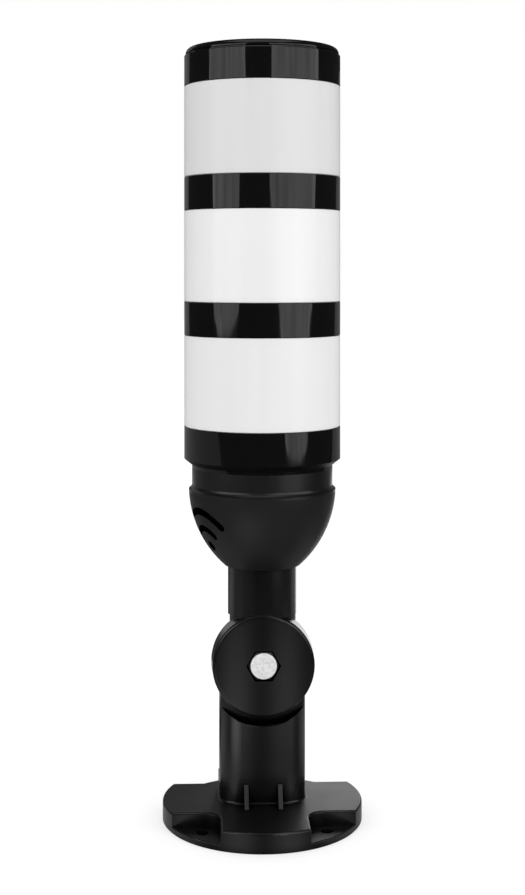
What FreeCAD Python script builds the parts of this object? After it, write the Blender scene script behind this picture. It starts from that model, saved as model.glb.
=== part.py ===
import FreeCAD, Part
import math
import os

# A three-tier stack light on a folding foot bracket, in millimetres, +Z up.
# The origin is the centre of the foot plate's underside; the knuckle's bolt head faces -Y.

Vector = FreeCAD.Vector
up = Vector(0, 0, 1)
back = Vector(0, 1, 0)
origin = Vector(0, 0, 0)

# ---------------------------------------------------------------- driving dimensions
# foot plate
plate_radius = 44.6
plate_thickness = 8.9        # height of the raised cross
pocket_floor = 3.0           # plate left under the four bolt pockets
pocket_corner = 7.0          # inner corner radius of a bolt pocket
bolt_circle = 76.0
bolt_hole = 5.5
edge_round = 0.6             # small rounding on moulded edges
plate_edge_round = 1.0
plate_foot_chamfer = 0.5

# column and knuckle
moulded_wall = 3.0
column_width = 38.4          # the cross's arms are as wide
column_front = 9.5           # column's front face, ahead of the axis
column_back = 14.0           # column's rear face, behind the axis
column_front_corner = 9.5
column_back_corner = 3.0
pivot_height = 71.6
knuckle_plane = 4.0          # rear half's friction face, ahead of the axis
knuckle_gap = 0.4
disc_radius = 23.0
disc_draft = 0.5             # the disc is smaller at its front by this
disc_front_round = 1.5
disc_front = 16.0            # bolt-head face of the front half, ahead of the axis
swing_gap = 5.0              # room under the disc, between it and the column
chamber_wall = 2.8           # rim round the wiring chamber in each half of the knuckle
boss_wall = 1.8              # rim of the boss round the nut's pocket
rib_spacing = 15.0
rib_thickness = 1.8
rib_height = 9.0
rib_reach = 8.0
rib_top_reach = 1.2
rib_tip_height = 0.5
foot_round = 1.2             # fillet where the column meets the plate

# pivot bolt and its nut
bolt_diameter = 8.0
bolt_clearance = 0.15
bolt_stick_out = 1.6         # thread past the nut
hex_flats = 12.0
hex_chamfer = 0.94           # face circle of the bolt's head and nut, over the flats
hex_clearance = 1.4
head_height = 5.3
head_sink = 0.2              # bolt head below the disc's face
nut_height = 6.5
washer_radius = 8.0
washer_thickness = 1.6
spring_washer_radius = 7.0
spring_washer_thickness = 2.0
spring_washer_split = 0.8
nut_pocket_room = 1.7        # for a thin-walled socket round the nut's corners
running_gap = 0.2            # flat faces that turn on each other
friction_washer_inset = 1.0  # inside the boss's edge
friction_washer_thickness = 1.0

# mast tube
tube_radius = 15.4
swing_clearance = 0.6        # tube's cut-away foot past the rear knuckle half
shoulder = 2.0               # step from the tube to its threaded spigot
spigot_wall = 2.9
spigot_length = 11.3
thread_clearance = 0.1
gasket_thickness = 0.8
mast_nut_wall = 2.9
mast_nut_height = 5.0
mast_nut_notch = (1.6, 2.0)   # depth and half width

# sounder bowl
mast_length = 42.1           # from the pivot to the bowl
bowl_height = 33.0
bowl_overhang = 1.4          # rim past the neck
bowl_foot_step = 1.6         # foot past the tube
bowl_sweep_rise = 2.6        # centre of the side's sweep above the rim
bowl_wall = 2.4
bowl_floor = 4.3
slot_azimuth = 62.4          # degrees round from the front, to the left
slot_centre = 10.3           # sound outlet's dot above the bowl's bottom
slot_dot_radius = 2.25
slot_arcs = ((8.1, 3.0), (15.7, 3.3))    # centre-line radius and width
slot_half_angle = 51.0

# neck collar
neck_step = 3.5              # inside the tower's radius
flange_height = 1.1
flare_height = 2.0
flare_middle = (0.3, 0.42)   # middle of the flare's sweep, as shares of its width and height
neck_height = 10.7
skirt_depth = 3.0
joint_clearance = 0.2
bead_height = 1.2            # snap bead of the collar's skirt, in the bowl's groove
bead_depth = 0.4
collar_wall = 2.4
web_thickness = 2.0
web_opening = 9.0

# rings, lenses and cap
tower_radius = 35.0
tower_wall = 2.4
lens_height = 40.4
ring_height = 15.2
base_ring_foot = 1.6
base_ring_chamfer = 2.4      # height; the chamfer reaches in by the lip's size more
base_ring_lip = 0.6
base_ring_height = 18.6
cap_height = 17.65
cap_step = 0.6               # cap's top inside its wall
cap_groove = (0.4, 0.3)      # height and depth of the seam groove at that step
cap_round = 2.7
cap_dome = 0.4
skirt_wall = 1.7
skirt_height = 5.0
web_drop = 8.0               # web's underside below a ring's top
seal_width = 1.2
seal_depth = 0.8
seal_inset = 0.6             # neck seal inside the neck's radius
lug_count = 3
lug_angle = 12.0
lug_height = 2.2
lug_rise = 1.2               # lug above the lens's lower edge
lug_play = 0.3
ring_edge = 0.3              # broken edges of the rings and the cap
lens_edge = 0.25

# tier electronics
tier_count = 3
board_inset = 3.7            # tier board inside its ring's skirt
board_thickness = 1.6
core_flats = 29.4
core_wall = 2.0
core_head_room = 1.0         # core's top below the lens's upper edge
strip_width = 9.0
strip_height = 30.0
strip_thickness = 1.2
led_size = 3.5
led_thickness = 1.4
leds_per_strip = 3
plug_size = (14.0, 8.0)
plug_flange = (1.5, 1.0)     # reach and thickness
plug_entry = 3.0             # plug's end inside the core below

core_flange_radius = 24.6
core_flange_thickness = 2.0
tier_screw_circle = 21.4
tier_screw_radius = 1.3
tier_screw_head = 2.4
tier_screw_length = 9.0
tier_boss_radius = 2.9

# sounder electronics and screws
driver_drop = 9.4            # driver board's top below the collar's web
skirt_clearance = 2.0        # driver board inside the neck's bore
buzzer_radius = 12.0
buzzer_height = 9.5
buzzer_offset = 13.5
buzzer_port = (1.5, 2.5)     # radius and depth
terminal_size = (20.0, 8.0, 9.0)
terminal_offset = 14.0
terminal_way = (3.2, 3.5, 1.5)    # width, height and rise of a wire's entry
screw_inset = 5.1            # screws inside the neck's bore
screw_radius = 1.5
screw_head_radius = 2.8
screw_head_height = 2.0
screw_length = 8.0
screw_boss_radius = 3.2

# ---------------------------------------------------------------- sizes that follow from those
arm_width = column_width
chamber_radius = column_width / 2 - chamber_wall
nut_pocket_radius = hex_flats / math.sqrt(3) + nut_pocket_room
boss_radius = nut_pocket_radius + boss_wall
friction_washer_radius = boss_radius - friction_washer_inset
tube_bore = tube_radius - moulded_wall
spigot_radius = tube_radius - shoulder
spigot_bore = spigot_radius - spigot_wall
mast_nut_radius = spigot_radius + thread_clearance + mast_nut_wall
neck_radius = tower_radius - neck_step
neck_bore = neck_radius - collar_wall
bowl_radius = neck_radius + bowl_overhang
bowl_foot = tube_radius + bowl_foot_step
screw_circle = neck_bore - screw_inset

# ---------------------------------------------------------------- levels from the foot up
bowl_bottom = pivot_height + mast_length
bowl_top = bowl_bottom + bowl_height
neck_top = bowl_top + neck_height
base_ring_top = neck_top + base_ring_height
tier_pitch = lens_height + ring_height
lens_bottoms = [base_ring_top + tier * tier_pitch for tier in range(tier_count)]
cap_bottom = lens_bottoms[-1] + lens_height
collar_web_bottom = neck_top - web_thickness
lens_bore = tower_radius - tower_wall
skirt_outer = lens_bore - joint_clearance
skirt_inner = skirt_outer - skirt_wall
board_radius = skirt_inner - board_inset
driver_radius = neck_bore - skirt_clearance
pivot = Vector(0, 0, pivot_height)
swing_radius = disc_radius + swing_gap
foot_cut_radius = math.hypot(column_width / 2, tube_radius) + swing_clearance


# ---------------------------------------------------------------- helpers
def revolve(outline):
    """Turn a closed outline about Z; each item is (r, z), or (r, z, r_mid, z_mid) to reach it by an arc."""
    edges = []
    start = outline[-1]
    for point in outline:
        a = Vector(start[0], 0, start[1])
        b = Vector(point[0], 0, point[1])
        if len(point) == 4:
            edges.append(Part.Arc(a, Vector(point[2], 0, point[3]), b).toShape())
        else:
            edges.append(Part.LineSegment(a, b).toShape())
        start = point
    return Part.Face(Part.Wire(edges)).revolve(origin, up, 360)


def pipe(outer, inner, bottom, height):
    """Upright ring."""
    tube = Part.makeCylinder(outer, height, Vector(0, 0, bottom))
    return tube.cut(Part.makeCylinder(inner, height, Vector(0, 0, bottom)))


def rod(radius, front, rear, centre=pivot):
    """Cylinder along Y through the given centre, from y = front to y = rear."""
    return Part.makeCylinder(radius, rear - front, centre + back * front, back)


def block(low, high):
    """Box between two corners."""
    low = Vector(*low)
    size = Vector(*high) - low
    return Part.makeBox(size.x, size.y, size.z, low)


def hexagon(flats, front, rear):
    """Hexagonal prism along Y on the pivot, with flats at top and bottom."""
    corner = flats / math.sqrt(3)
    points = []
    for side in range(7):
        angle = math.radians(60 * side)
        points.append(pivot + Vector(corner * math.cos(angle), front, corner * math.sin(angle)))
    return Part.Face(Part.makePolygon(points)).extrude(back * (rear - front))


def sector(outer, inner, bottom, height, start_angle, angle):
    """Part of an upright ring, from start_angle, in degrees round Z."""
    ring = Part.makeCylinder(outer, height, Vector(0, 0, bottom), up, angle)
    ring = ring.cut(Part.makeCylinder(inner, height, Vector(0, 0, bottom)))
    ring.rotate(origin, up, start_angle)
    return ring


def around(shape, count, start_angle=0.0):
    """Copies of a shape, evenly spaced round Z."""
    copies = []
    for index in range(count):
        copy = shape.copy()
        copy.rotate(origin, up, start_angle + index * 360.0 / count)
        copies.append(copy)
    return copies


def turned_left(azimuth):
    """Unit vector that points outwards at an angle round from the front, towards the left."""
    return Vector(-math.sin(math.radians(azimuth)), -math.cos(math.radians(azimuth)), 0)


def rounded(shape, radius, chosen):
    """Round the edges of a shape that the test picks."""
    return shape.makeFillet(radius, [edge for edge in shape.Edges if chosen(edge)])


# ---------------------------------------------------------------- foot bracket
def foot_plate():
    half = arm_width / 2
    disc = Part.makeCylinder(plate_radius, plate_thickness)
    pocket = block((half, half, pocket_floor), (plate_radius, plate_radius, plate_thickness + 1))
    pocket = rounded(pocket, pocket_corner, lambda edge: is_upright_at(edge, half, half))
    for cut in around(pocket, 4):
        disc = disc.cut(cut)
    plate = rounded(disc, plate_edge_round, lambda edge: edge.BoundBox.ZMin > plate_thickness - 0.01)
    plate = rounded(plate, edge_round, is_pocket_lip)
    bottom_edges = [edge for edge in plate.Edges if edge.BoundBox.ZMax < 0.01]
    plate = plate.makeChamfer(plate_foot_chamfer, bottom_edges)
    hole = Part.makeCylinder(bolt_hole / 2, plate_thickness, Vector(bolt_circle / 2, 0, 0))
    for cut in around(hole, 4, 45):
        plate = plate.cut(cut)
    return plate


def is_pocket_lip(edge):
    """Outer edge of a bolt pocket's floor."""
    box = edge.BoundBox
    on_floor = box.ZLength < 0.01 and abs(box.ZMin - pocket_floor) < 0.01
    return on_floor and math.hypot(edge.Vertexes[0].X, edge.Vertexes[0].Y) > plate_radius - 0.01 \
        and math.hypot(edge.Vertexes[-1].X, edge.Vertexes[-1].Y) > plate_radius - 0.01


def is_upright_at(edge, x, y):
    box = edge.BoundBox
    return box.ZLength > 1 and abs(box.Center.x - x) + abs(box.Center.y - y) < 0.01


def arm_cores():
    """Cored-out undersides of the four arms, with a web left across each."""
    reach = plate_radius - moulded_wall
    half = arm_width / 2 - moulded_wall
    top = plate_thickness - moulded_wall
    inner_y = max(column_front, column_back) + moulded_wall
    inner_x = column_width / 2 + moulded_wall
    limit = Part.makeCylinder(reach, top)
    cores = []
    for side in (-1, 1):
        near, far = sorted((side * inner_y, side * reach))
        cores.append(block((-half, near, 0), (half, far, top)).common(limit))
        near, far = sorted((side * inner_x, side * reach))
        cores.append(block((near, -half, 0), (far, half, top)).common(limit))
    return cores


def column_body():
    half = column_width / 2
    column = block((-half, -column_front, 0), (half, column_back, pivot_height))
    for x in (-half, half):
        column = rounded(column, column_front_corner, lambda edge: is_upright_at(edge, x, -column_front))
        column = rounded(column, column_back_corner, lambda edge: is_upright_at(edge, x, column_back))
    ear = rod(half, -knuckle_plane, column_back)
    ear = rounded(ear, column_back_corner, lambda edge: edge.BoundBox.YMin > column_back - 0.01)
    return column.fuse(ear).removeSplitter().cut(swing_room())


def swing_room():
    """Room for the disc to turn in, with a rounded edge at the column's front."""
    middle = edge_round * (1 - math.sqrt(0.5))
    room = revolve([
        (0, -column_front - 1),
        (swing_radius + edge_round, -column_front - 1),
        (swing_radius + edge_round, -column_front),
        (swing_radius, edge_round - column_front, swing_radius + middle, middle - column_front),
        (swing_radius, -knuckle_plane),
        (0, -knuckle_plane),
    ])
    room.rotate(origin, Vector(1, 0, 0), -90)
    room.translate(pivot)
    return room


def column_hollow():
    """Way for the supply cable: up the column, round the bolt's boss and out of the friction face."""
    inner = column_width / 2 - moulded_wall
    rear = column_back - moulded_wall
    inside_front = -knuckle_plane + moulded_wall
    shaft = block((-inner, inside_front, 0), (inner, rear, pivot_height))
    lower_front = -column_front + moulded_wall
    lower = block((-inner, lower_front, 0), (inner, rear, pivot_height - swing_radius - moulded_wall))
    corner = column_front_corner - moulded_wall
    for x in (-inner, inner):
        lower = rounded(lower, corner, lambda edge: is_upright_at(edge, x, lower_front))
    chamber = rod(chamber_radius, -knuckle_plane, rear)
    around_shaft = rod(inner, inside_front, rear)
    return shaft.fuse([lower, chamber, around_shaft]).cut(rod(boss_radius, -knuckle_plane, rear))


def gusset(x):
    foot = Vector(x - rib_thickness / 2, -column_front + moulded_wall / 2, plate_thickness - 1)
    tip = -column_front - rib_reach
    top = plate_thickness + rib_height
    outline = Part.makePolygon([
        foot,
        Vector(foot.x, tip, foot.z),
        Vector(foot.x, tip, plate_thickness + rib_tip_height),
        Vector(foot.x, -column_front - rib_top_reach, top),
        Vector(foot.x, foot.y, top),
        foot,
    ])
    return Part.Face(outline).extrude(Vector(rib_thickness, 0, 0))


def is_column_foot(edge):
    box = edge.BoundBox
    inside = max(abs(box.XMin), abs(box.XMax)) < column_width / 2 + 0.01
    inside = inside and box.YMin > -column_front - 0.01 and box.YMax < column_back + 0.01
    return inside and box.ZLength < 0.01 and abs(box.ZMin - plate_thickness) < 0.01


def base_bracket():
    ribs = [gusset(side * rib_spacing / 2) for side in (-1, 1)]
    body = foot_plate().fuse(column_body()).removeSplitter()
    body = rounded(body, foot_round, is_column_foot)
    body = body.fuse(ribs).removeSplitter()
    for core in arm_cores():
        body = body.cut(core)
    body = body.cut(column_hollow())
    body = body.cut(rod(bolt_diameter / 2 + bolt_clearance, -column_front, column_back + 1))
    body = body.cut(rod(nut_pocket_radius, nut_pocket_front, column_back + 1))
    return body.cut(rod(friction_washer_radius + joint_clearance, -column_front, washer_seat))


# ---------------------------------------------------------------- knuckle hardware
washer_seat = -knuckle_plane - knuckle_gap + running_gap + friction_washer_thickness
hex_floor = -disc_front + head_sink + head_height
nut_stack = washer_thickness + spring_washer_thickness + nut_height
nut_pocket_front = column_back - nut_stack - bolt_stick_out


def knuckle_washer():
    rear = washer_seat
    ring = rod(friction_washer_radius, rear - friction_washer_thickness, rear)
    return ring.cut(rod(bolt_diameter / 2 + bolt_clearance, -column_front, column_back))


def stack_level(thicknesses):
    """Front of a piece that stands on the pieces of the given thicknesses, in the nut's pocket."""
    return nut_pocket_front + running_gap + sum(thicknesses)


def bolt_bore():
    return rod(bolt_diameter / 2 + thread_clearance, -disc_front, column_back + nut_height)


def pivot_washer():
    front = stack_level([])
    return rod(washer_radius, front, front + washer_thickness).cut(bolt_bore())


def pivot_spring_washer():
    front = stack_level([washer_thickness])
    ring = rod(spring_washer_radius, front, front + spring_washer_thickness).cut(bolt_bore())
    split = block((0, front, pivot_height),
                  (spring_washer_split, front + spring_washer_thickness, pivot_height + washer_radius))
    split.rotate(pivot, back, 35)
    return ring.cut(split)


def hex_with_chamfer(front, rear, chamfered_rear):
    """Hexagonal prism with the turned chamfer that takes off its corners, at the front or at both ends."""
    corner = hex_flats / math.sqrt(3)
    face_radius = hex_flats / 2 * hex_chamfer
    slope = math.tan(math.radians(30))
    drop = (corner - face_radius) * slope
    cone_height = corner * slope
    cone_radius = face_radius + corner
    ends = [(front, back)] + ([(rear, back * -1)] if chamfered_rear else [])
    blank = hexagon(hex_flats, front, rear)
    for level, inward in ends:
        face = pivot + back * level
        cone = Part.makeCone(face_radius, cone_radius, cone_height, face, inward)
        rest = Part.makeCylinder(corner + 1, rear - front - drop, face + inward * drop, inward)
        blank = blank.common(cone.fuse(rest))
    return blank


def pivot_nut():
    front = stack_level([washer_thickness, spring_washer_thickness])
    return hex_with_chamfer(front, front + nut_height, True).cut(bolt_bore())


def pivot_bolt():
    head = hex_with_chamfer(hex_floor - head_height, hex_floor, False)
    tip = stack_level([nut_stack]) + bolt_stick_out
    shank = rod(bolt_diameter / 2, hex_floor, tip)
    shank = shank.makeChamfer(0.6, [edge for edge in shank.Edges if edge.BoundBox.YMin > tip - 0.01])
    return head.fuse(shank).removeSplitter()


# ---------------------------------------------------------------- mast
def upper_bracket():
    behind = -knuckle_plane - knuckle_gap
    disc = Part.makeCone(disc_radius, disc_radius - disc_draft, behind + disc_front,
                         pivot + back * behind, back * -1)
    disc = rounded(disc, disc_front_round, lambda edge: edge.BoundBox.YMax < -disc_front + 0.01)
    disc = rounded(disc, edge_round, lambda edge: edge.BoundBox.YMin > behind - 0.01)
    tube = Part.makeCylinder(tube_radius, bowl_bottom - pivot_height, pivot)
    tube = tube.cut(rod(foot_cut_radius, behind, tube_radius + 1))
    tube = tube.cut(rod(disc_radius - moulded_wall, -tube_radius - 1, behind))
    spigot = Part.makeCylinder(spigot_radius, spigot_length, Vector(0, 0, bowl_bottom))
    body = disc.fuse([tube, spigot]).removeSplitter()
    body = body.cut(mast_hollow()).cut(bolt_bore())
    return body.cut(hexagon(hex_flats + hex_clearance, -disc_front, hex_floor))


def mast_hollow():
    """Way for the wires: out of the friction face, round the bolt's boss and up the tube."""
    behind = -knuckle_plane - knuckle_gap
    chamber = rod(chamber_radius, -disc_front + moulded_wall, behind)
    chamber = chamber.cut(rod(boss_radius, -disc_front, behind))
    bore_top = bowl_bottom - moulded_wall
    bore = Part.makeCylinder(tube_bore, bore_top - pivot_height, pivot)
    bore = bore.cut(rod(foot_cut_radius + moulded_wall, behind - moulded_wall, tube_radius))
    bore = bore.cut(rod(boss_radius, -disc_front, tube_radius))
    taper = Part.makeCone(tube_bore, spigot_bore, tube_bore - spigot_bore, Vector(0, 0, bore_top))
    neck = Part.makeCylinder(spigot_bore, spigot_length + moulded_wall + 1, Vector(0, 0, bore_top))
    return chamber.fuse([bore, taper, neck])


def mast_gasket():
    return pipe(tube_radius - joint_clearance, spigot_radius + thread_clearance, bowl_bottom, gasket_thickness)


def mast_nut():
    bottom = bowl_bottom + bowl_floor
    nut = pipe(mast_nut_radius, spigot_radius + thread_clearance, bottom, mast_nut_height)
    depth, half_width = mast_nut_notch
    notch = block((mast_nut_radius - depth, -half_width, bottom),
                  (mast_nut_radius + 1, half_width, bottom + mast_nut_height))
    for cut in around(notch, 6):
        nut = nut.cut(cut)
    return nut


# ---------------------------------------------------------------- sounder housing
bead_middle = bowl_top - skirt_depth / 2
sweep_height = bowl_top + bowl_sweep_rise
sweep_drop = sweep_height - bowl_bottom
sweep_centre = ((bowl_radius ** 2 + bowl_sweep_rise ** 2 - bowl_foot ** 2 - sweep_drop ** 2)
                / (2 * (bowl_radius - bowl_foot)))
bowl_sweep = math.hypot(bowl_radius - sweep_centre, bowl_sweep_rise)


def bowl_side(z, inset):
    """Radius of the bowl's side at a height, a given depth under its outer face."""
    return sweep_centre + math.sqrt((bowl_sweep - inset) ** 2 - (sweep_height - z) ** 2)


def buzzer_bowl():
    floor = bowl_bottom + bowl_floor
    middle = (bowl_bottom + bowl_top) / 2
    rim = bowl_radius - bowl_wall
    inner_top = bowl_top - skirt_depth - 1
    shell = revolve([
        (spigot_radius + thread_clearance, bowl_bottom),
        (bowl_foot, bowl_bottom),
        (bowl_radius, bowl_top, bowl_side(middle, 0), middle),
        (rim, bowl_top),
        (rim, bead_middle + bead_height / 2),
        (rim + bead_depth, bead_middle),
        (rim, bead_middle - bead_height / 2),
        (rim, inner_top),
        (bowl_side(inner_top, bowl_wall), inner_top),
        (bowl_side(floor, bowl_wall), floor, bowl_side(middle, bowl_wall), middle),
        (spigot_radius + thread_clearance, floor),
    ])
    seat = pipe(tube_radius, spigot_radius, bowl_bottom, gasket_thickness)
    return shell.cut(seat).cut(sound_outlet())


def sound_outlet():
    """Dot and arcs cut straight through one side of the bowl."""
    outward = turned_left(slot_azimuth)
    sideways = up.cross(outward)
    start = Vector(0, 0, bowl_bottom + slot_centre) + outward * spigot_radius
    depth = bowl_radius
    cutters = [Part.makeCylinder(slot_dot_radius, depth, start, outward)]
    for radius, width in slot_arcs:
        ring = Part.makeCylinder(radius + width / 2, depth, start, outward)
        ring = ring.cut(Part.makeCylinder(radius - width / 2, depth, start, outward))
        reach = 2 * radius
        side = reach * math.tan(math.radians(slot_half_angle))
        wedge = Part.makePolygon([
            start,
            start + up * reach + sideways * side,
            start + up * reach - sideways * side,
            start,
        ])
        cutters.append(ring.common(Part.Face(wedge).extrude(outward * depth)))
        for hand in (-1, 1):
            angle = math.radians(hand * slot_half_angle)
            end = start + up * radius * math.cos(angle) + sideways * radius * math.sin(angle)
            cutters.append(Part.makeCylinder(width / 2, depth, end, outward))
    return cutters[0].multiFuse(cutters[1:])


def neck_collar():
    rim = bowl_radius - bowl_wall - joint_clearance
    flare_top = bowl_top + flange_height + flare_height
    mid_r = neck_radius + bowl_overhang * flare_middle[0]
    mid_z = bowl_top + flange_height + flare_height * flare_middle[1]
    collar = revolve([
        (rim, bowl_top - skirt_depth),
        (rim, bead_middle - bead_height / 2),
        (rim + bead_depth, bead_middle),
        (rim, bead_middle + bead_height / 2),
        (rim, bowl_top),
        (bowl_radius, bowl_top),
        (bowl_radius, bowl_top + flange_height),
        (neck_radius, flare_top, mid_r, mid_z),
        (neck_radius, neck_top),
        (web_opening, neck_top),
        (web_opening, collar_web_bottom),
        (neck_bore, collar_web_bottom),
        (neck_bore, bowl_top),
        (rim - collar_wall, bowl_top - skirt_depth),
    ])
    collar = collar.cut(neck_seal())
    post_height = driver_drop
    post = Part.makeCylinder(screw_boss_radius, post_height + 0.5,
                             Vector(screw_circle, 0, collar_web_bottom - post_height))
    pilot = Part.makeCylinder(screw_radius, post_height,
                              Vector(screw_circle, 0, collar_web_bottom - post_height))
    through = Part.makeCylinder(screw_radius + thread_clearance, 3 * web_thickness,
                                Vector(screw_circle, 0, collar_web_bottom - web_thickness))
    for body, hole in zip(around(post, 3, 30), around(pilot, 3, 30)):
        collar = collar.fuse(body).cut(hole)
    for hole in around(through, 3, 90):
        collar = collar.cut(hole)
    return collar


def neck_seal():
    outer = neck_radius - seal_inset
    return pipe(outer, outer - seal_width, neck_top - seal_depth, seal_depth)


def driver_board():
    top = collar_web_bottom - driver_drop
    board = Part.makeCylinder(driver_radius, board_thickness, Vector(0, 0, top - board_thickness))
    hole = Part.makeCylinder(screw_radius + thread_clearance, board_thickness,
                             Vector(screw_circle, 0, top - board_thickness))
    for cut in around(hole, 3, 30):
        board = board.cut(cut)
    return board.cut(block((-4, -3, top - board_thickness), (4, 3, top)))


def buzzer():
    top = collar_web_bottom - driver_drop - board_thickness
    place = turned_left(slot_azimuth) * buzzer_offset + Vector(0, 0, top - buzzer_height)
    can = Part.makeCylinder(buzzer_radius, buzzer_height, place)
    can = can.makeChamfer(edge_round, [edge for edge in can.Edges if edge.BoundBox.ZMax < place.z + 0.01])
    return can.cut(Part.makeCylinder(*buzzer_port, place))


def terminal_block():
    top = collar_web_bottom - driver_drop - board_thickness
    length, depth, height = terminal_size
    way_width, way_height, way_rise = terminal_way
    way_bottom = top - height + way_rise
    body = block((-length / 2, terminal_offset - depth / 2, top - height),
                 (length / 2, terminal_offset + depth / 2, top))
    for way in range(4):
        x = (way - 1.5) * length / 4
        body = body.cut(block((x - way_width / 2, terminal_offset - depth / 2, way_bottom),
                              (x + way_width / 2, terminal_offset, way_bottom + way_height)))
    body.rotate(origin, up, -slot_azimuth)
    return body


def screw(head_bottom, direction):
    """Pan-head screw on the +X side; its head's seat is at head_bottom and its shank goes along direction."""
    seat = Vector(screw_circle, 0, head_bottom)
    head = Part.makeCylinder(screw_head_radius, screw_head_height, seat, direction * -1)
    return head.fuse(Part.makeCylinder(screw_radius, screw_length, seat, direction)).removeSplitter()


def housing_screws():
    board_bottom = collar_web_bottom - driver_drop - board_thickness
    through_board = around(screw(board_bottom, up), 3, 30)
    through_collar = around(screw(collar_web_bottom, up), 3, 90)
    return Part.makeCompound(through_board + through_collar)


# ---------------------------------------------------------------- tower
def seal_groove(z):
    """Flat seal let into a ring's face, rising from z."""
    outer = lens_bore + (tower_wall + seal_width) / 2
    return pipe(outer, outer - seal_width, z, seal_depth)


def bayonet_slots(lens_bottom):
    """Openings in a ring's upper skirt: straight down for the lug, then round."""
    play = math.degrees(lug_play / skirt_outer)
    low = lens_bottom + lug_rise - lug_play
    high = lens_bottom + lug_rise + lug_height + lug_play
    entry = sector(skirt_outer + 1, skirt_inner - 1, low, lens_bottom + skirt_height + 1 - low,
                   lug_angle + play, lug_angle + 2 * play)
    run = sector(skirt_outer + 1, skirt_inner - 1, low, high - low, -lug_angle / 2 - play, 2 * lug_angle)
    return around(entry.fuse(run).removeSplitter(), lug_count)


def ring_body(outline, bottom, top):
    """A ring with its web, its seals' grooves and the bayonet skirt of the lens above."""
    ring = revolve(outline)
    web_top = top - web_drop + web_thickness
    place = Vector(tier_screw_circle, 0, web_top)
    boss = Part.makeCylinder(tier_boss_radius, tier_boss_depth, place, up * -1)
    pilot = Part.makeCylinder(tier_screw_radius, tier_boss_depth, place, up * -1)
    for body, hole in zip(around(boss, 3, 30), around(pilot, 3, 30)):
        ring = ring.fuse(body).cut(hole)
    ring = ring.cut(seal_groove(top - seal_depth))
    for slot in bayonet_slots(top):
        ring = ring.cut(slot)
    return ring


def ring_top_outline(top):
    """Outer top edge, skirt and web of a ring, as outline points."""
    web_bottom = top - web_drop
    return [
        (tower_radius, top - ring_edge),
        (tower_radius - ring_edge, top),
        (skirt_outer, top),
        (skirt_outer, top + skirt_height),
        (skirt_inner, top + skirt_height),
        (skirt_inner, web_bottom + web_thickness),
        (web_opening, web_bottom + web_thickness),
        (web_opening, web_bottom),
    ]


def ring(bottom):
    top = bottom + ring_height
    outline = ring_top_outline(top) + [
        (skirt_inner, top - web_drop),
        (skirt_inner, bottom - skirt_height),
        (skirt_outer, bottom - skirt_height),
        (skirt_outer, bottom),
        (tower_radius - ring_edge, bottom),
        (tower_radius, bottom + ring_edge),
    ]
    return ring_body(outline, bottom, top).cut(seal_groove(bottom))


def base_ring():
    top = base_ring_top
    foot = neck_top + base_ring_foot
    web_bottom = top - web_drop
    outline = ring_top_outline(top) + [
        (neck_bore, web_bottom),
        (neck_bore, neck_top),
        (neck_radius, neck_top),
        (neck_radius, foot),
        (tower_radius - base_ring_chamfer - base_ring_lip, foot),
        (tower_radius, foot + base_ring_chamfer),
    ]
    body = ring_body(outline, neck_top, top)
    post = Part.makeCylinder(screw_boss_radius, web_bottom - neck_top + 0.5,
                             Vector(screw_circle, 0, neck_top))
    pilot = Part.makeCylinder(screw_radius, screw_length, Vector(screw_circle, 0, neck_top))
    for boss, hole in zip(around(post, 3, 90), around(pilot, 3, 90)):
        body = body.fuse(boss).cut(hole)
    return body


def lens(bottom):
    top = bottom + lens_height
    shell = revolve([
        (lens_bore, bottom),
        (tower_radius - lens_edge, bottom),
        (tower_radius, bottom + lens_edge),
        (tower_radius, top - lens_edge),
        (tower_radius - lens_edge, top),
        (lens_bore, top),
    ])
    lug = sector(lens_bore + lug_play, skirt_inner + joint_clearance, bottom + lug_rise, lug_height,
                 -lug_angle / 2, lug_angle)
    return shell.fuse(around(lug, lug_count)).removeSplitter()


def cap():
    top = cap_bottom + cap_height
    shoulder = tower_radius - cap_step - cap_round
    edge_top = top - cap_dome
    round_foot = edge_top - cap_round
    groove_height, groove_depth = cap_groove
    groove_top = round_foot - groove_depth
    groove_bottom = groove_top - groove_height
    half = cap_round * math.sqrt(0.5)
    inner = tower_radius - tower_wall
    outline = [
        (tower_radius - ring_edge, cap_bottom),
        (tower_radius, cap_bottom + ring_edge),
        (tower_radius, groove_bottom - ring_edge),
        (tower_radius - ring_edge, groove_bottom),
        (shoulder + cap_round - groove_depth, groove_bottom),
        (shoulder + cap_round - groove_depth, groove_top),
        (shoulder + cap_round, round_foot),
        (shoulder, edge_top, shoulder + half, round_foot + half),
        (0, edge_top),
        (0, edge_top - tower_wall),
        (inner - cap_dome, edge_top - tower_wall),
        (inner, edge_top - tower_wall - cap_dome),
        (inner, cap_bottom + moulded_wall),
        (skirt_inner, cap_bottom + moulded_wall),
        (skirt_inner, cap_bottom - skirt_height),
        (skirt_outer, cap_bottom - skirt_height),
        (skirt_outer, cap_bottom),
    ]
    sweep = (shoulder ** 2 + cap_dome ** 2) / (2 * cap_dome)
    dome = Part.makeSphere(sweep, Vector(0, 0, top - sweep))
    dome = dome.common(Part.makeCylinder(shoulder, cap_round, Vector(0, 0, edge_top)))
    return revolve(outline).fuse(dome).removeSplitter().cut(seal_groove(cap_bottom))


def lens_seals():
    seals = []
    for bottom in lens_bottoms:
        seals.append(seal_groove(bottom - seal_depth))
        seals.append(seal_groove(bottom + lens_height))
    return Part.makeCompound(seals)


tier_boss_depth = tier_screw_length - core_flange_thickness - board_thickness + joint_clearance


def board_bottom_of(lens_bottom):
    return lens_bottom - web_drop + web_thickness


def tier_board(lens_bottom):
    bottom = board_bottom_of(lens_bottom)
    board = Part.makeCylinder(board_radius, board_thickness, Vector(0, 0, bottom))
    for hole in tier_screw_holes(bottom, board_thickness):
        board = board.cut(hole)
    return board.cut(plug_shape(bottom, bottom + board_thickness, joint_clearance / 2))


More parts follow.
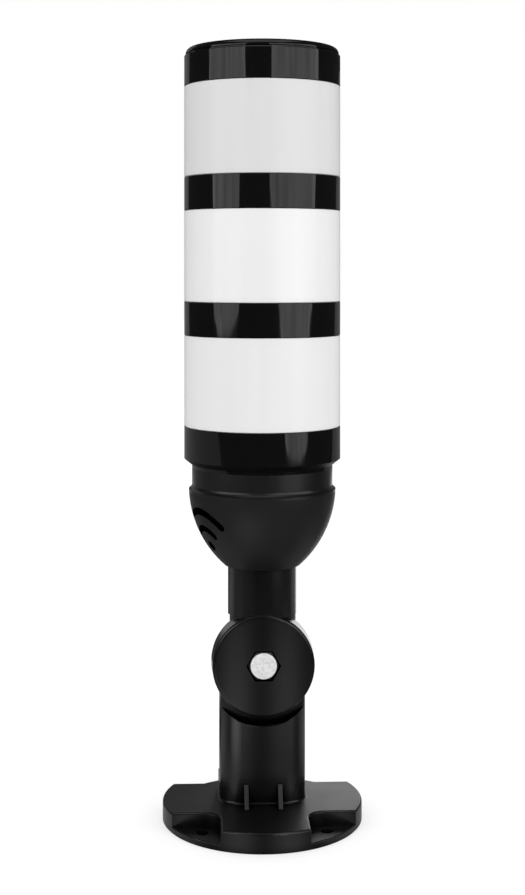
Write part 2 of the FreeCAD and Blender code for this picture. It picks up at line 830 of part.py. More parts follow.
def tier_screw_holes(bottom, depth):
    hole = Part.makeCylinder(tier_screw_radius + thread_clearance, depth, Vector(tier_screw_circle, 0, bottom))
    return around(hole, 3, 30)


def tier_screws():
    """Pan-head screws that hold each tier's core and board down on its ring."""
    screws = []
    for lens_bottom in lens_bottoms:
        seat = Vector(tier_screw_circle, 0, core_span(lens_bottom)[0] + core_flange_thickness)
        head = Part.makeCylinder(tier_screw_head, screw_head_height, seat)
        shank = Part.makeCylinder(tier_screw_radius, tier_screw_length, seat, up * -1)
        screws.extend(around(head.fuse(shank).removeSplitter(), 3, 30))
    return Part.makeCompound(screws)


def plug_shape(bottom, top, growth):
    half_x = plug_size[0] / 2 + growth
    half_y = plug_size[1] / 2 + growth
    return block((-half_x, -half_y, bottom), (half_x, half_y, top))


def tier_plug(lens_bottom):
    """Plug through a tier's board, down to the core of the tier below."""
    top = board_bottom_of(lens_bottom) + board_thickness
    bottom = lens_bottom - ring_height - core_head_room - plug_entry
    plug = plug_shape(bottom, top, 0)
    flange = plug_shape(top, top + plug_flange[1], plug_flange[0])
    return plug.fuse(flange).removeSplitter()


def hex_tube(flats, bottom, height):
    corner = flats / math.sqrt(3)
    points = []
    for side in range(7):
        angle = math.radians(60 * side)
        points.append(Vector(corner * math.cos(angle), corner * math.sin(angle), bottom))
    return Part.Face(Part.makePolygon(points)).extrude(up * height)


def core_span(lens_bottom):
    bottom = board_bottom_of(lens_bottom) + board_thickness
    return bottom, lens_bottom + lens_height - core_head_room


def led_core(lens_bottom):
    """Hexagonal column that carries the strip boards, with a socket in its top."""
    bottom, top = core_span(lens_bottom)
    core = hex_tube(core_flats, bottom, top - bottom)
    flange = Part.makeCylinder(core_flange_radius, core_flange_thickness, Vector(0, 0, bottom))
    core = core.fuse(flange).removeSplitter()
    for hole in tier_screw_holes(bottom, core_flange_thickness):
        core = core.cut(hole)
    core = core.cut(hex_tube(core_flats - 2 * core_wall, bottom, top - bottom - 2 * core_wall))
    return core.cut(plug_shape(top - plug_entry - core_wall, top, joint_clearance / 2))


def strip_middle(lens_bottom):
    bottom, top = core_span(lens_bottom)
    return (bottom + top) / 2


def on_core_faces(shape):
    return around(shape, 6, 30)


def led_strips(lens_bottom):
    middle = strip_middle(lens_bottom)
    face = core_flats / 2
    strip = block((face, -strip_width / 2, middle - strip_height / 2),
                  (face + strip_thickness, strip_width / 2, middle + strip_height / 2))
    return Part.makeCompound(on_core_faces(strip))


def leds(lens_bottom):
    middle = strip_middle(lens_bottom)
    face = core_flats / 2 + strip_thickness
    pitch = strip_height / leds_per_strip
    chips = []
    for row in range(leds_per_strip):
        z = middle + (row - (leds_per_strip - 1) / 2) * pitch
        chip = block((face, -led_size / 2, z - led_size / 2),
                     (face + led_thickness, led_size / 2, z + led_size / 2))
        chips.extend(on_core_faces(chip))
    return Part.makeCompound(chips)


# ---------------------------------------------------------------- the assembly
parts = {
    "base_bracket": base_bracket(),
    "knuckle_washer": knuckle_washer(),
    "upper_bracket": upper_bracket(),
    "pivot_bolt": pivot_bolt(),
    "pivot_washer": pivot_washer(),
    "pivot_spring_washer": pivot_spring_washer(),
    "pivot_nut": pivot_nut(),
    "mast_gasket": mast_gasket(),
    "mast_nut": mast_nut(),
    "buzzer_bowl": buzzer_bowl(),
    "buzzer": buzzer(),
    "driver_board": driver_board(),
    "terminal_block": terminal_block(),
    "housing_screws": housing_screws(),
    "neck_collar": neck_collar(),
    "neck_seal": neck_seal(),
    "base_ring": base_ring(),
    "cap": cap(),
    "lens_seals": lens_seals(),
    "tier_screws": tier_screws(),
}
for number, z in enumerate(lens_bottoms, start=1):
    parts[f"lens_{number}"] = lens(z)
    parts[f"tier_board_{number}"] = tier_board(z)
    parts[f"tier_plug_{number}"] = tier_plug(z)
    parts[f"led_core_{number}"] = led_core(z)
    parts[f"led_strips_{number}"] = led_strips(z)
    parts[f"leds_{number}"] = leds(z)
    if number < tier_count:
        parts[f"ring_{number}"] = ring(z + lens_height)

os.makedirs("parts", exist_ok=True)
for name, shape in parts.items():
    shape.exportStep(f"parts/{name}.step")
    print(name, len(shape.Solids), "solid(s)", round(shape.Volume / 1000, 2), "cm3", "valid", shape.isValid())
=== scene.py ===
import bpy
import bmesh
import math
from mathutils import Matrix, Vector, noise

# Three-tier stack light on a folding foot bracket: finishes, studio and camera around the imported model.

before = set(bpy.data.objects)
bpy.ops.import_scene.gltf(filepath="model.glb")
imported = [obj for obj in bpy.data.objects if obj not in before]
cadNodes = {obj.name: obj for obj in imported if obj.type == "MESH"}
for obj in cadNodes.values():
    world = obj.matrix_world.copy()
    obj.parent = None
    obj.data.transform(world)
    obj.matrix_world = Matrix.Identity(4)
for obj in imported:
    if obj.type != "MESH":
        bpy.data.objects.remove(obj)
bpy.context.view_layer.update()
print("frame loaded,", len(cadNodes), "CAD nodes")


def linear(level):
    # screen level, 0 to 255, as scene light
    share = level / 255
    return share / 12.92 if share <= 0.04045 else ((share + 0.055) / 1.055) ** 2.4


def tone(red, green=None, blue=None):
    green = red if green is None else green
    blue = red if blue is None else blue
    return (linear(red), linear(green), linear(blue), 1.0)


class Finish:
    # one node material, with short ways to add and join its nodes
    def __init__(self, name):
        self.material = bpy.data.materials.new(name)
        self.material.use_nodes = True
        self.tree = self.material.node_tree
        self.shader = self.tree.nodes["Principled BSDF"]
        self.coords = self.tree.nodes.new("ShaderNodeTexCoord").outputs["Object"]

    def add(self, lensShading, inputs=None, **settings):
        node = self.tree.nodes.new("ShaderNode" + lensShading)
        for key, value in settings.items():
            setattr(node, key, value)
        for key, value in (inputs or {}).items():
            if isinstance(value, bpy.types.NodeSocket):
                self.tree.links.new(value, node.inputs[key])
            else:
                node.inputs[key].default_value = value
        return node

    def join(self, output, socket):
        self.tree.links.new(output, self.shader.inputs[socket])

    def put(self, **values):
        for key, value in values.items():
            self.shader.inputs[key.replace("_", " ")].default_value = value

    def noise(self, scale, detail=2.0, roughness=0.5, stretch=(1, 1, 1)):
        moved = self.add("Mapping", {"Vector": self.coords, "Scale": stretch})
        made = self.add("TexNoise", {"Vector": moved.outputs["Vector"], "Scale": scale, "Detail": detail,
                                     "Roughness": roughness})
        return made.outputs["Fac"]

    def spread(self, value, low, high, fromLow=0.3, fromHigh=0.7):
        # the plain range suits a noise, which seldom leaves it
        made = self.add("MapRange", {"Value": value, "From Min": fromLow, "From Max": fromHigh,
                                     "To Min": low, "To Max": high})
        return made.outputs["Result"]

    def mix(self, share, first, second):
        made = self.add("Mix", {"Factor": share, "A": first, "B": second}, data_type="RGBA")
        return made.outputs["Result"]

    def bump(self, height, strength, distance):
        made = self.add("Bump", {"Height": height, "Strength": strength, "Distance": distance})
        return made.outputs["Normal"]


def mouldedPlastic(name, look):
    # spark-eroded black plastic: fine even grain, faint flow mottling, edges lightened partly by wear and
    # partly as a painted highlight, painted shade darkening the hollows
    finish = Finish(name)
    grain = finish.noise(look["grainScale"], detail=3.0, roughness=0.6)
    flow = finish.noise(look["flowScale"], detail=3.0, roughness=0.55, stretch=look["flowStretch"])
    # edges lightened: partly real wear, partly a painted highlight along the edges
    rounded = finish.add("Bevel", {"Radius": look["wearAndHighlightWidth"]}, samples=4)
    flat = finish.add("NewGeometry").outputs["Normal"]
    turned = finish.add("VectorMath", {0: rounded.outputs["Normal"], 1: flat}, operation="DOT_PRODUCT")
    edgeWearAndHighlight = finish.spread(turned.outputs["Value"], 1.0, 0.0, fromLow=0.9, fromHigh=1.0)
    patchy = finish.add("Math", {0: edgeWearAndHighlight, 1: finish.spread(flow, 0.2, 1.0)}, operation="MULTIPLY")
    plain = finish.mix(finish.spread(flow, 0.0, 1.0), look["dark"], look["light"])
    speckled = finish.mix(finish.spread(grain, 0.0, look["speckle"]), plain, look["rubbedAndHighlight"])
    colour = finish.mix(patchy.outputs["Value"], speckled, look["rubbedAndHighlight"])
    # painted shade: where occlusion finds nearby surfaces, the colour is painted towards a near-black tone
    # and the reflection is dimmed
    paintedShade = finish.add("AmbientOcclusion", {"Distance": look["paintedShadeReach"]}, samples=8)
    shut, clear = look["paintedShadeOpen"]
    unshaded = finish.spread(paintedShade.outputs["AO"], 0.0, 1.0, fromLow=shut, fromHigh=clear)
    finish.join(finish.mix(unshaded, look["paintedShade"], colour), "Base Color")
    gloss = finish.add("Math", {0: unshaded, 1: look["gloss"]}, operation="MULTIPLY").outputs["Value"]
    rough = finish.spread(flow, *look["roughness"])
    if "paintedSheenWidth" in look:
        # painted sheen: reflection raised and lowered in slow bands across the upright faces, standing in for
        # bands of light; coarser grain on the level ones
        facing = finish.add("SeparateXYZ", {"Vector": finish.add("TexCoord").outputs["Normal"]})
        level = finish.spread(facing.outputs["Z"], 0.0, 1.0, fromLow=0.9, fromHigh=0.99)
        across = finish.add("SeparateXYZ", {"Vector": finish.coords})
        phase = finish.add("Math", {0: across.outputs["X"], 1: 2 * math.pi / look["paintedSheenWidth"],
                                    2: look["paintedSheenShift"]}, operation="MULTIPLY_ADD")
        wave = finish.add("Math", {0: phase.outputs["Value"]}, operation="COSINE")
        paintedSheen = finish.spread(wave.outputs["Value"], *look["paintedSheenGloss"], fromLow=1.0, fromHigh=-1.0)
        evened = finish.add("Mix", {"Factor": level, "A": paintedSheen, "B": 1.0}, data_type="FLOAT")
        sheenPaintedGloss = finish.add("Math", {0: gloss, 1: evened.outputs["Result"]}, operation="MULTIPLY")
        gloss = sheenPaintedGloss.outputs["Value"]
        coarse = finish.add("Math", {0: level, 1: look["levelRoughness"], 2: rough},
                            operation="MULTIPLY_ADD")
        rough = coarse.outputs["Value"]
    finish.join(gloss, "Specular IOR Level")
    finish.join(rough, "Roughness")
    finish.join(finish.bump(grain, look["grainStrength"], look["grainDepth"]), "Normal")
    finish.put(IOR=look["ior"], Specular_IOR_Level=look["gloss"])
    return finish.material


def glossPlastic(name, look):
    # polished black plastic: slow waves from the mould, hairlines and a little dust
    finish = Finish(name)
    waves = finish.noise(look["waveScale"], detail=1.0, roughness=0.4, stretch=look["waveStretch"])
    hair = finish.noise(look["hairScale"], detail=4.0, roughness=0.7, stretch=look["hairStretch"])
    dust = finish.noise(look["dustScale"])
    specks = finish.spread(dust, 0.0, 1.0, fromLow=0.7, fromHigh=0.76)
    colour = finish.mix(finish.spread(hair, 0.0, 1.0), look["dark"], look["light"])
    dusty = finish.add("Math", {0: specks, 1: look["dustAmount"]}, operation="MULTIPLY")
    finish.join(finish.mix(dusty.outputs["Value"], colour, look["dust"]), "Base Color")
    # faces turned down are made matt, and their reflection is turned down as a painted shade
    facing = finish.add("SeparateXYZ", {"Vector": finish.add("TexCoord").outputs["Normal"]})
    notFacingDown = finish.spread(facing.outputs["Z"], 0.0, 1.0, fromLow=-0.7, fromHigh=-0.5)
    hairline = finish.spread(hair, *look["roughness"])
    shine = finish.add("Mix", {"Factor": notFacingDown, "A": look["mattRoughness"], "B": hairline},
                       data_type="FLOAT")
    finish.join(shine.outputs["Result"], "Roughness")
    gloss = finish.spread(notFacingDown, look["paintedShadeGloss"], look["gloss"], fromLow=0.0, fromHigh=1.0)
    finish.join(gloss, "Specular IOR Level")
    finish.join(finish.bump(waves, look["waveStrength"], look["waveDepth"]), "Normal")
    finish.put(IOR=look["ior"])
    return finish.material


def milkyLens(name, look, lensShading):
    # opal polycarbonate: light scatters in the wall, faint flow lines run up it
    finish = Finish(name)
    flow = finish.noise(look["flowScale"], stretch=look["flowStretch"])
    peel = finish.noise(look["peelScale"])
    # the tone of each lens is a painted shade or painted light
    finish.join(finish.mix(finish.spread(flow, 0.0, 1.0), lensShading["dark"], lensShading["light"]), "Base Color")
    finish.join(finish.spread(peel, *look["roughness"]), "Roughness")
    finish.join(finish.bump(peel, look["peelStrength"], look["peelDepth"]), "Normal")
    finish.put(IOR=lensShading["ior"], Subsurface_Weight=look["scatter"], Subsurface_Scale=look["scatterDepth"],
               Subsurface_Radius=look["scatterRadius"])
    return finish.material


def platedMetal(name, look):
    # bright zinc plating: crystalline speckle, soft scratches and darker pits
    finish = Finish(name)
    crystal = finish.add("TexVoronoi", {"Vector": finish.coords, "Scale": look["crystalScale"]})
    cloud = finish.noise(look["cloudScale"], detail=3.0, roughness=0.6)
    scratch = finish.noise(look["scratchScale"], detail=3.0, roughness=0.6, stretch=look["scratchStretch"])
    shade = finish.spread(crystal.outputs["Color"], 0.0, 1.0, fromLow=0.1, fromHigh=0.9)
    base = finish.mix(shade, look["dark"], look["light"])
    pits = finish.spread(cloud, look["pitAmount"], 0.0, fromLow=0.3, fromHigh=0.45)
    # painted highlight and shade: the turned end face is painted near-white and mostly not metallic, the
    # chamfer and flats round it are painted dark
    fromAxis = finish.add("VectorMath", {0: finish.coords, 1: look["axis"]}, operation="SUBTRACT")
    flat = finish.add("VectorMath", {0: fromAxis.outputs["Vector"], 1: (1, 0, 1)}, operation="MULTIPLY")
    away = finish.add("VectorMath", {0: flat.outputs["Vector"]}, operation="LENGTH")
    inside, outside = look["faceEdge"]
    paintedShadeMask = finish.spread(away.outputs["Value"], 0.0, 1.0, fromLow=inside, fromHigh=outside)
    finish.join(finish.mix(paintedShadeMask, finish.mix(pits, base, look["pit"]), look["paintedShadeRim"]), "Base Color")
    finish.join(finish.spread(paintedShadeMask, look["metal"], 1.0, fromLow=0.0, fromHigh=1.0), "Metallic")
    finish.join(finish.spread(scratch, *look["roughness"]), "Roughness")
    finish.join(finish.bump(cloud, look["bumpStrength"], look["bumpDepth"]), "Normal")
    finish.put(IOR=look["ior"])
    return finish.material


def plainPart(name, look):
    # small inner parts: even colour with a fine mottling
    finish = Finish(name)
    mottle = finish.noise(look["scale"], detail=3.0, roughness=0.6)
    finish.join(finish.mix(finish.spread(mottle, 0.0, 1.0), look["dark"], look["light"]), "Base Color")
    finish.join(finish.spread(mottle, *look["roughness"]), "Roughness")
    finish.join(finish.bump(mottle, strength=0.3, distance=0.00002), "Normal")
    finish.put(Metallic=look.get("metal", 0.0))
    return finish.material


bracketLook = {
    "dark": tone(9), "light": tone(11), "rubbedAndHighlight": tone(46), "speckle": 0.06,
    "grainScale": 1500.0, "grainStrength": 0.6, "grainDepth": 0.00006,
    "flowScale": 60.0, "flowStretch": (1, 1, 0.5), "wearAndHighlightWidth": 0.0005,
    "paintedShade": tone(3), "paintedShadeReach": 0.008, "paintedShadeOpen": (0.3, 0.75), "gloss": 0.5,
    "paintedSheenWidth": 0.022, "paintedSheenShift": 0.3, "paintedSheenGloss": (0.5, 1.6), "levelRoughness": 0.2,
    "roughness": (0.2, 0.25), "ior": 1.5,
}
bowlLook = {
    "dark": tone(17, 17, 19), "light": tone(20, 20, 22), "rubbedAndHighlight": tone(34, 34, 36), "speckle": 0.12,
    "grainScale": 1900.0, "grainStrength": 0.5, "grainDepth": 0.00005,
    "flowScale": 45.0, "flowStretch": (1, 1, 1), "wearAndHighlightWidth": 0.0004,
    "paintedShade": tone(3), "paintedShadeReach": 0.03, "paintedShadeOpen": (0.4, 0.9), "gloss": 0.55,
    "roughness": (0.42, 0.5), "ior": 1.4,
}
neckLook = {
    "dark": tone(16, 16, 17), "light": tone(19, 19, 20), "rubbedAndHighlight": tone(36), "speckle": 0.08,
    "grainScale": 1900.0, "grainStrength": 0.25, "grainDepth": 0.00003,
    "flowScale": 70.0, "flowStretch": (1, 1, 0.4), "wearAndHighlightWidth": 0.0004,
    "paintedShade": tone(5), "paintedShadeReach": 0.003, "paintedShadeOpen": (0.2, 0.7), "gloss": 0.6,
    "roughness": (0.26, 0.34), "ior": 1.5,
}
ringLook = {
    "dark": tone(12), "light": tone(14), "dust": tone(90), "dustAmount": 0.05,
    "waveScale": 38.0, "waveStretch": (1, 1, 1.6), "waveStrength": 0.2, "waveDepth": 0.0004,
    "hairScale": 500.0, "hairStretch": (1, 1, 0.12), "dustScale": 900.0,
    "roughness": (0.04, 0.08), "gloss": 0.5, "mattRoughness": 0.5, "paintedShadeGloss": 0.06, "ior": 1.5,
}
lensLook = {
    "flowScale": 120.0, "flowStretch": (1, 1, 0.05),
    "peelScale": 500.0, "peelStrength": 0.15, "peelDepth": 0.00003,
    "roughness": (0.2, 0.26), "scatter": 0.3, "scatterDepth": 0.002,
    "scatterRadius": (1.0, 1.0, 0.95),
}
# one opal for all three lenses, painted lighter or darker each: lens_3 painted in shade, lens_2 painted
# lighter
paintedLensShades = {
    "lens_1": {"dark": tone(239), "light": tone(242), "ior": 1.3},
    "lens_2": {"dark": tone(245), "light": tone(248), "ior": 1.5},
    "lens_3": {"dark": tone(226), "light": tone(229), "ior": 1.3},
}
boltLook = {
    "dark": tone(226), "light": tone(255), "pit": tone(216), "pitAmount": 0.35, "metal": 0.2,
    "axis": (0, 0, 0.0716), "faceEdge": (0.0056, 0.0059), "paintedShadeRim": tone(70),
    "crystalScale": 1000.0, "cloudScale": 900.0, "scratchScale": 700.0, "scratchStretch": (1, 1, 0.2),
    "roughness": (0.4, 0.52), "bumpStrength": 0.4, "bumpDepth": 0.00006, "ior": 1.6,
}
innerLooks = {
    "rubber": {"dark": tone(18), "light": tone(24), "scale": 700.0, "roughness": (0.7, 0.8)},
    "nylon": {"dark": tone(205, 203, 195), "light": tone(220, 218, 210), "scale": 500.0,
              "roughness": (0.4, 0.5)},
    "buzzer": {"dark": tone(14), "light": tone(18), "scale": 600.0, "roughness": (0.45, 0.55)},
    "board": {"dark": tone(18, 84, 46), "light": tone(24, 100, 56), "scale": 900.0,
              "roughness": (0.35, 0.45)},
    "terminal": {"dark": tone(30, 120, 64), "light": tone(36, 134, 72), "scale": 500.0,
                 "roughness": (0.4, 0.5)},
    "plug": {"dark": tone(222, 214, 190), "light": tone(230, 222, 200), "scale": 500.0,
             "roughness": (0.4, 0.5)},
    "core": {"dark": tone(225), "light": tone(234), "scale": 400.0, "roughness": (0.5, 0.6)},
    "strip": {"dark": tone(236), "light": tone(242), "scale": 900.0, "roughness": (0.4, 0.5)},
    "led": {"dark": tone(228, 196, 70), "light": tone(238, 210, 90), "scale": 900.0,
            "roughness": (0.3, 0.4)},
    "screw": {"dark": tone(150), "light": tone(176), "scale": 900.0, "roughness": (0.3, 0.42),
              "metal": 1.0},
}

finishes = {
    "bracket": mouldedPlastic("bracketPlastic", bracketLook),
    "bowl": mouldedPlastic("bowlPlastic", bowlLook),
    "neck": mouldedPlastic("neckPlastic", neckLook),
    "ring": glossPlastic("ringPlastic", ringLook),
    "bolt": platedMetal("zincPlate", boltLook),
}
for lensName, lensShade in paintedLensShades.items():
    finishes[lensName] = milkyLens(lensName + "Opal", lensLook, lensShade)
for innerName, innerLook in innerLooks.items():
    finishes[innerName] = plainPart(innerName + "Finish", innerLook)
print("materials made:", len(finishes))

finishOfNode = {
    "base_bracket": "bracket", "upper_bracket": "bracket", "buzzer_bowl": "bowl", "neck_collar": "neck",
    "base_ring": "ring", "ring": "ring", "cap": "ring",
    "lens_1": "lens_1", "lens_2": "lens_2", "lens_3": "lens_3",
    "pivot": "bolt", "mast_gasket": "rubber", "neck_seal": "rubber", "lens_seals": "rubber",
    "mast_nut": "bracket", "knuckle_washer": "nylon", "buzzer": "buzzer", "driver_board": "board",
    "tier_board": "board", "terminal_block": "terminal", "tier_plug": "plug", "led_core": "core",
    "led_strips": "strip", "leds": "led", "housing_screws": "screw", "tier_screws": "screw",
}


def finishFor(nodeName):
    # the longest key that the node's name starts with
    keys = [key for key in finishOfNode if nodeName.startswith(key)]
    return finishes[finishOfNode[max(keys, key=len)]]


for nodeName, node in cadNodes.items():
    for materialSlot in node.material_slots:
        materialSlot.material = finishFor(nodeName)
print("CAD nodes finished")


studio = {
    "ambient": 1.2,           # even light from all round, on matt surfaces
    "distance": 1.0,          # panels from the object
    "floorSize": 12.0,
    "floorSquares": 8,
    "floorPaint": 0.4,
    "floorLift": 0.58,        # what the camera sees on top of the lit paint
    # painted shadow: the floor's glow is taken away under the foot, so the floor seen through the holes is
    # dark
    "paintedShadowUnderFoot": {"place": (0, 0), "reach": (0.041, 0.044), "glow": 0.58},   # taken off the lift there
    "surround": 0.03,         # dark studio beyond the panels, as shiny surfaces see it
    "aim": (0, 0, 0.2),       # what the lamps point at
}
# pools of light on the floor, that only shiny surfaces see
pools = [
    {"place": (-0.09, -0.16), "reach": (0.03, 0.12), "glow": 1.3},     # front left, near
    {"place": (0.0, -0.16), "reach": (0.03, 0.08), "glow": 0.34},      # front, near
    {"place": (0.01, -0.28), "reach": (0.08, 0.14), "glow": 0.42},     # front
    {"place": (0.11, -0.16), "reach": (0.03, 0.15), "glow": 0.45},     # front right, near
    {"place": (0.14, 0.06), "reach": (0.03, 0.12), "glow": 0.5},       # right, near
    {"place": (-0.14, 0.04), "reach": (0.03, 0.1), "glow": 0.5},       # left, near
    {"place": (-0.27, -0.06), "reach": (0.05, 0.15), "glow": 0.35},    # left
    {"place": (0.27, -0.04), "reach": (0.05, 0.15), "glow": 0.35},     # right
    {"place": (-0.36, -0.36), "reach": (0.12, 0.26), "glow": 0.16},    # front left, far
    {"place": (-0.5, -0.02), "reach": (0.12, 0.26), "glow": 0.18},     # left, far
    {"place": (-0.43, 0.28), "reach": (0.06, 0.22), "glow": 0.5},      # behind left, far
    {"place": (0.5, 0.08), "reach": (0.06, 0.2), "glow": 0.1},         # right, far
    {"place": (0.43, 0.28), "reach": (0.06, 0.22), "glow": 0.5},       # behind right, far
    {"place": (0.0, 0.55), "reach": (0.25, 0.45), "glow": 0.6},        # behind, far
    {"place": (0.04, 0.26), "reach": (0.05, 0.1), "glow": 0.8},        # behind, right
    {"place": (-0.12, 0.26), "reach": (0.05, 0.12), "glow": 1.0},      # behind, left
    {"place": (-0.02, 0.0), "reach": (0.07, 0.12), "glow": 0.38},      # round the foot
    {"place": (0.0, 0.0), "reach": (8.0, 9.0), "glow": 0.025},         # everywhere
]
# flat glowing cards, that only shiny surfaces see
cards = {
    "rearRightCard": {"low": (0.0, 0.16, 0.03), "high": (0.12, 0.16, 0.13), "glow": 1.9},
    "rearLeftCard": {"low": (-0.12, 0.16, 0.03), "high": (0.0, 0.16, 0.085), "glow": 0.08},
    "rearLeftUpperCard": {"low": (-0.12, 0.16, 0.085), "high": (-0.012, 0.16, 0.13), "glow": 0.5},
    "overhead": {"low": (-0.4, -0.7, 1.0), "high": (0.4, 0.1, 1.0), "glow": 0.8},
}
# how the glow varies over a panel: stronger at its two sides, and slightly mottled
panelShape = {
    "rows": 90, "rimWidth": 0.08, "rimShare": 0.6,
    "mottleShare": 0.5, "mottleAngle": 4, "mottleRise": 8, "mottleSeed": 40,
}
# curved panels that only shiny surfaces see: at each height, the angles round from the front that they span
panels = {
    "leftSoftbox": {
        "heights": (0.17, 0.18, 0.19, 0.2, 0.31, 0.34, 0.44, 0.47, 0.9),
        "from": (-68, -71, -74, -76, -77, -78, -85, -84, -84),
        "to": (-50, -43, -38, -36, -36, -35, -26, -27, -27), "glow": 1.3, "rim": 0.8, "columns": 60,
        "streak": {"angle": -64, "width": 2.5, "height": 0.17, "reach": 0.035, "gain": 1.1}},
    "rightSoftbox": {
        "heights": (0.036, 0.045, 0.064, 0.18, 0.2, 0.31, 0.33, 0.45, 0.9),
        "from": (42, 34, 31, 24, 21, 10, 8, 11, 11),
        "to": (54, 60, 66, 69, 74, 79, 80, 86, 86), "glow": 1.2, "rim": 0.8, "columns": 60,
        "streak": {"angle": 22, "width": 4.5, "height": 0.28, "reach": 0.04, "gain": 0.6}},
    "leftWall": {
        "heights": (0.005, 0.03, 0.085, 0.1, 0.2, 0.33, 0.47, 0.9),
        "from": (-195, -195, -195, -190, -162, -162, -162, -162),
        "to": (-46, -62, -72, -133, -137, -140, -136, -136), "glow": 0.25, "rim": 0.0, "columns": 60},
    "rightWall": {
        "heights": (0.005, 0.06, 0.19, 0.33, 0.46),
        "from": (116, 122, 130, 136, 152),
        "to": (165, 165, 165, 165, 165), "glow": 0.2, "rim": 0.0, "columns": 30},
}
lamps = {
    "keyLeft": {"place": (-0.9, -1.1, 0.42), "size": (0.9, 0.9), "power": 1.0},
    "keyRight": {"place": (1.0, -0.9, 0.36), "size": (0.9, 0.9), "power": 2.4},
}


def stageMaterial(name):
    material = bpy.data.materials.new(name)
    material.use_nodes = True
    material.node_tree.nodes.clear()
    return material, material.node_tree


def stageObject(name, bm):
    mesh = bpy.data.meshes.new(name)
    bm.to_mesh(mesh)
    bm.free()
    made = bpy.data.objects.new(name, mesh)
    bpy.context.scene.collection.objects.link(made)
    return made


def between(value, steps, results):
    # straight-line reading of results at value
    for low, high, first, last in zip(steps, steps[1:], results, results[1:]):
        if value <= high:
            return first + (last - first) * max(0.0, value - low) / (high - low)
    return results[-1]


def glowPanel(name, panel):
    # a curved panel that only shiny surfaces see, brighter towards its two sides
    shape = panelShape
    bm = bmesh.new()
    bmesh.ops.create_grid(bm, x_segments=panel["columns"], y_segments=shape["rows"], size=0.5)
    strength = bm.verts.layers.float.new("glow")
    bottom, top = panel["heights"][0], panel["heights"][-1]
    for vert in bm.verts:
        across, rise = vert.co.x + 0.5, vert.co.y + 0.5
        height = bottom + (top - bottom) * rise
        start = between(height, panel["heights"], panel["from"])
        end = between(height, panel["heights"], panel["to"])
        angle = math.radians(start + (end - start) * across)
        outward = Vector((math.sin(angle), -math.cos(angle), 0))
        vert.co = outward * studio["distance"] + Vector((0, 0, height))
        rim = max(0.0, 1 - min(across, 1 - across) / shape["rimWidth"])
        mottle = noise.noise(Vector((math.degrees(angle) / shape["mottleAngle"], height * shape["mottleRise"],
                                     bottom * shape["mottleSeed"])))
        uneven = 1 + panel["rim"] * (rim * shape["rimShare"] + mottle * shape["mottleShare"])
        if "streak" in panel:
            hot = panel["streak"]
            aside = abs(math.degrees(angle) - hot["angle"]) / hot["width"]
            above = abs(height - hot["height"]) / hot["reach"]
            uneven += hot["gain"] * max(0.0, 1 - aside) * max(0.0, 1 - above)
        vert[strength] = panel["glow"] * uneven
    glowOnly(stageObject(name, bm))


def glowCard(name, card):
    low, high = Vector(card["low"]), Vector(card["high"])
    bm = bmesh.new()
    bmesh.ops.create_grid(bm, x_segments=1, y_segments=1, size=0.5)
    strength = bm.verts.layers.float.new("glow")
    for vert in bm.verts:
        across, rise = vert.co.x + 0.5, vert.co.y + 0.5
        vert.co = Vector((low.x + (high.x - low.x) * across, low.y + (high.y - low.y) * rise,
                          low.z + (high.z - low.z) * rise))
        vert[strength] = card["glow"]
    glowOnly(stageObject(name, bm))


def glowOnly(made):
    material, tree = stageMaterial(made.name + "Glow")
    level = tree.nodes.new("ShaderNodeAttribute")
    level.attribute_name = "glow"
    glow = tree.nodes.new("ShaderNodeEmission")
    tree.links.new(level.outputs["Fac"], glow.inputs["Strength"])
    out = tree.nodes.new("ShaderNodeOutputMaterial")
    tree.links.new(glow.outputs["Emission"], out.inputs["Surface"])
    made.data.materials.append(material)
    made.visible_camera = False
    made.visible_transmission = False
    made.visible_diffuse = False
    made.visible_shadow = False


def areaLamp(name, lamp):
    data = bpy.data.lights.new(name, "AREA")
    data.shape = "RECTANGLE"
    data.size, data.size_y = lamp["size"]
    data.energy = lamp["power"]
    made = bpy.data.objects.new(name, data)
    made.location = lamp["place"]
    made.rotation_euler = (Vector(studio["aim"]) - made.location).to_track_quat("-Z", "Y").to_euler()
    made.visible_glossy = False
    made.visible_camera = False
    bpy.context.scene.collection.objects.link(made)


def pool(tree, position, look):
    # a round patch of glow on the floor, soft at its edge
    away = tree.nodes.new("ShaderNodeVectorMath")
    away.operation = "DISTANCE"
    tree.links.new(position, away.inputs[0])
    away.inputs[1].default_value = (look["place"][0], look["place"][1], 0)
    fade = tree.nodes.new("ShaderNodeMapRange")
    fade.interpolation_type = "SMOOTHSTEP"
    tree.links.new(away.outputs["Value"], fade.inputs["Value"])
    near, far = look["reach"]
    for key, value in (("From Min", near), ("From Max", far), ("To Min", look["glow"]), ("To Max", 0.0)):
        fade.inputs[key].default_value = value
    return fade.outputs["Result"]


def largest(tree, first, second):
    made = tree.nodes.new("ShaderNodeMath")
    made.operation = "MAXIMUM"
    tree.links.new(first, made.inputs[0])
    tree.links.new(second, made.inputs[1])
    return made.outputs["Value"]


def seenDirectly(tree, rays):
    return largest(tree, rays.outputs["Is Camera Ray"], rays.outputs["Is Transmission Ray"])


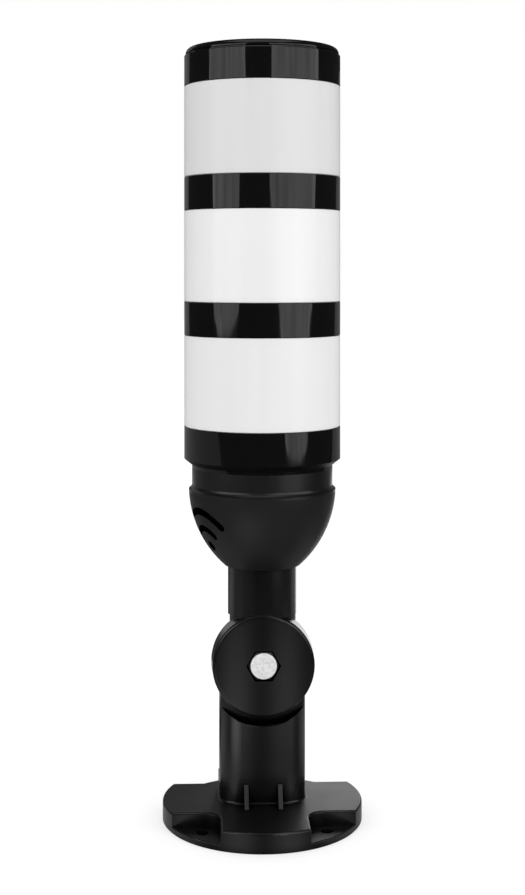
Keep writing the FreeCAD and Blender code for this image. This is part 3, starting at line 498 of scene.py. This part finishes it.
def whiteFloor():
    bm = bmesh.new()
    squares = studio["floorSquares"]
    bmesh.ops.create_grid(bm, x_segments=squares, y_segments=squares, size=studio["floorSize"] / 2)
    floor = stageObject("floor", bm)
    material, tree = stageMaterial("floorPaint")
    nodes, links = tree.nodes, tree.links
    rays = nodes.new("ShaderNodeLightPath")
    paint = nodes.new("ShaderNodeBsdfDiffuse")
    paint.inputs["Color"].default_value = (studio["floorPaint"],) * 3 + (1,)
    lift = nodes.new("ShaderNodeEmission")
    seen = nodes.new("ShaderNodeMath")
    seen.operation = "MULTIPLY"
    links.new(seenDirectly(tree, rays), seen.inputs[0])
    coords = nodes.new("ShaderNodeTexCoord")
    # painted shadow under the foot, taken off the lift
    shaded = pool(tree, coords.outputs["Object"], studio["paintedShadowUnderFoot"])
    uncovered = nodes.new("ShaderNodeMath")
    uncovered.operation = "SUBTRACT"
    uncovered.inputs[0].default_value = studio["floorLift"]
    links.new(shaded, uncovered.inputs[1])
    links.new(uncovered.outputs["Value"], seen.inputs[1])
    links.new(seen.outputs["Value"], lift.inputs["Strength"])
    lit = nodes.new("ShaderNodeAddShader")
    links.new(paint.outputs["BSDF"], lit.inputs[0])
    links.new(lift.outputs["Emission"], lit.inputs[1])
    shone = nodes.new("ShaderNodeEmission")
    brightest = None
    for look in pools:
        patch = pool(tree, coords.outputs["Object"], look)
        brightest = patch if brightest is None else largest(tree, brightest, patch)
    links.new(brightest, shone.inputs["Strength"])
    both = nodes.new("ShaderNodeMixShader")
    links.new(rays.outputs["Is Glossy Ray"], both.inputs["Fac"])
    links.new(lit.outputs["Shader"], both.inputs[1])
    links.new(shone.outputs["Emission"], both.inputs[2])
    out = nodes.new("ShaderNodeOutputMaterial")
    links.new(both.outputs["Shader"], out.inputs["Surface"])
    floor.data.materials.append(material)


def studioWorld():
    world = bpy.data.worlds.new("studio")
    bpy.context.scene.world = world
    world.use_nodes = True
    tree = world.node_tree
    nodes, links = tree.nodes, tree.links
    nodes.clear()
    rays = nodes.new("ShaderNodeLightPath")
    ambient = nodes.new("ShaderNodeMix")
    links.new(rays.outputs["Is Glossy Ray"], ambient.inputs["Factor"])
    ambient.inputs[2].default_value = studio["ambient"]
    ambient.inputs[3].default_value = studio["surround"]
    final = nodes.new("ShaderNodeMix")
    links.new(seenDirectly(tree, rays), final.inputs["Factor"])
    links.new(ambient.outputs[0], final.inputs[2])
    final.inputs[3].default_value = 1.0
    background = nodes.new("ShaderNodeBackground")
    background.inputs["Color"].default_value = (1, 1, 1, 1)
    links.new(final.outputs[0], background.inputs["Strength"])
    out = nodes.new("ShaderNodeOutputWorld")
    links.new(background.outputs["Background"], out.inputs["Surface"])


for panelName, panel in panels.items():
    glowPanel(panelName, panel)
for cardName, card in cards.items():
    glowCard(cardName, card)
for lampName, lamp in lamps.items():
    areaLamp(lampName, lamp)
whiteFloor()
studioWorld()
print("studio built")

cameraPlace = {
    "location": (-0.0286, -0.6817, 0.248), "turn": -2.402,
    "lens": 61.08, "sensor": 36.0, "shift": (0.0003, -0.2045),
}


def placeCamera():
    data = bpy.data.cameras.new("camera")
    data.lens = cameraPlace["lens"]
    data.sensor_width = cameraPlace["sensor"]
    data.shift_x, data.shift_y = cameraPlace["shift"]
    data.dof.use_dof = False
    camera = bpy.data.objects.new("camera", data)
    camera.location = cameraPlace["location"]
    camera.rotation_euler = (math.radians(90), 0, math.radians(cameraPlace["turn"]))
    bpy.context.scene.collection.objects.link(camera)
    bpy.context.scene.camera = camera


placeCamera()
bpy.context.scene.view_settings.view_transform = "Standard"
print("camera placed")
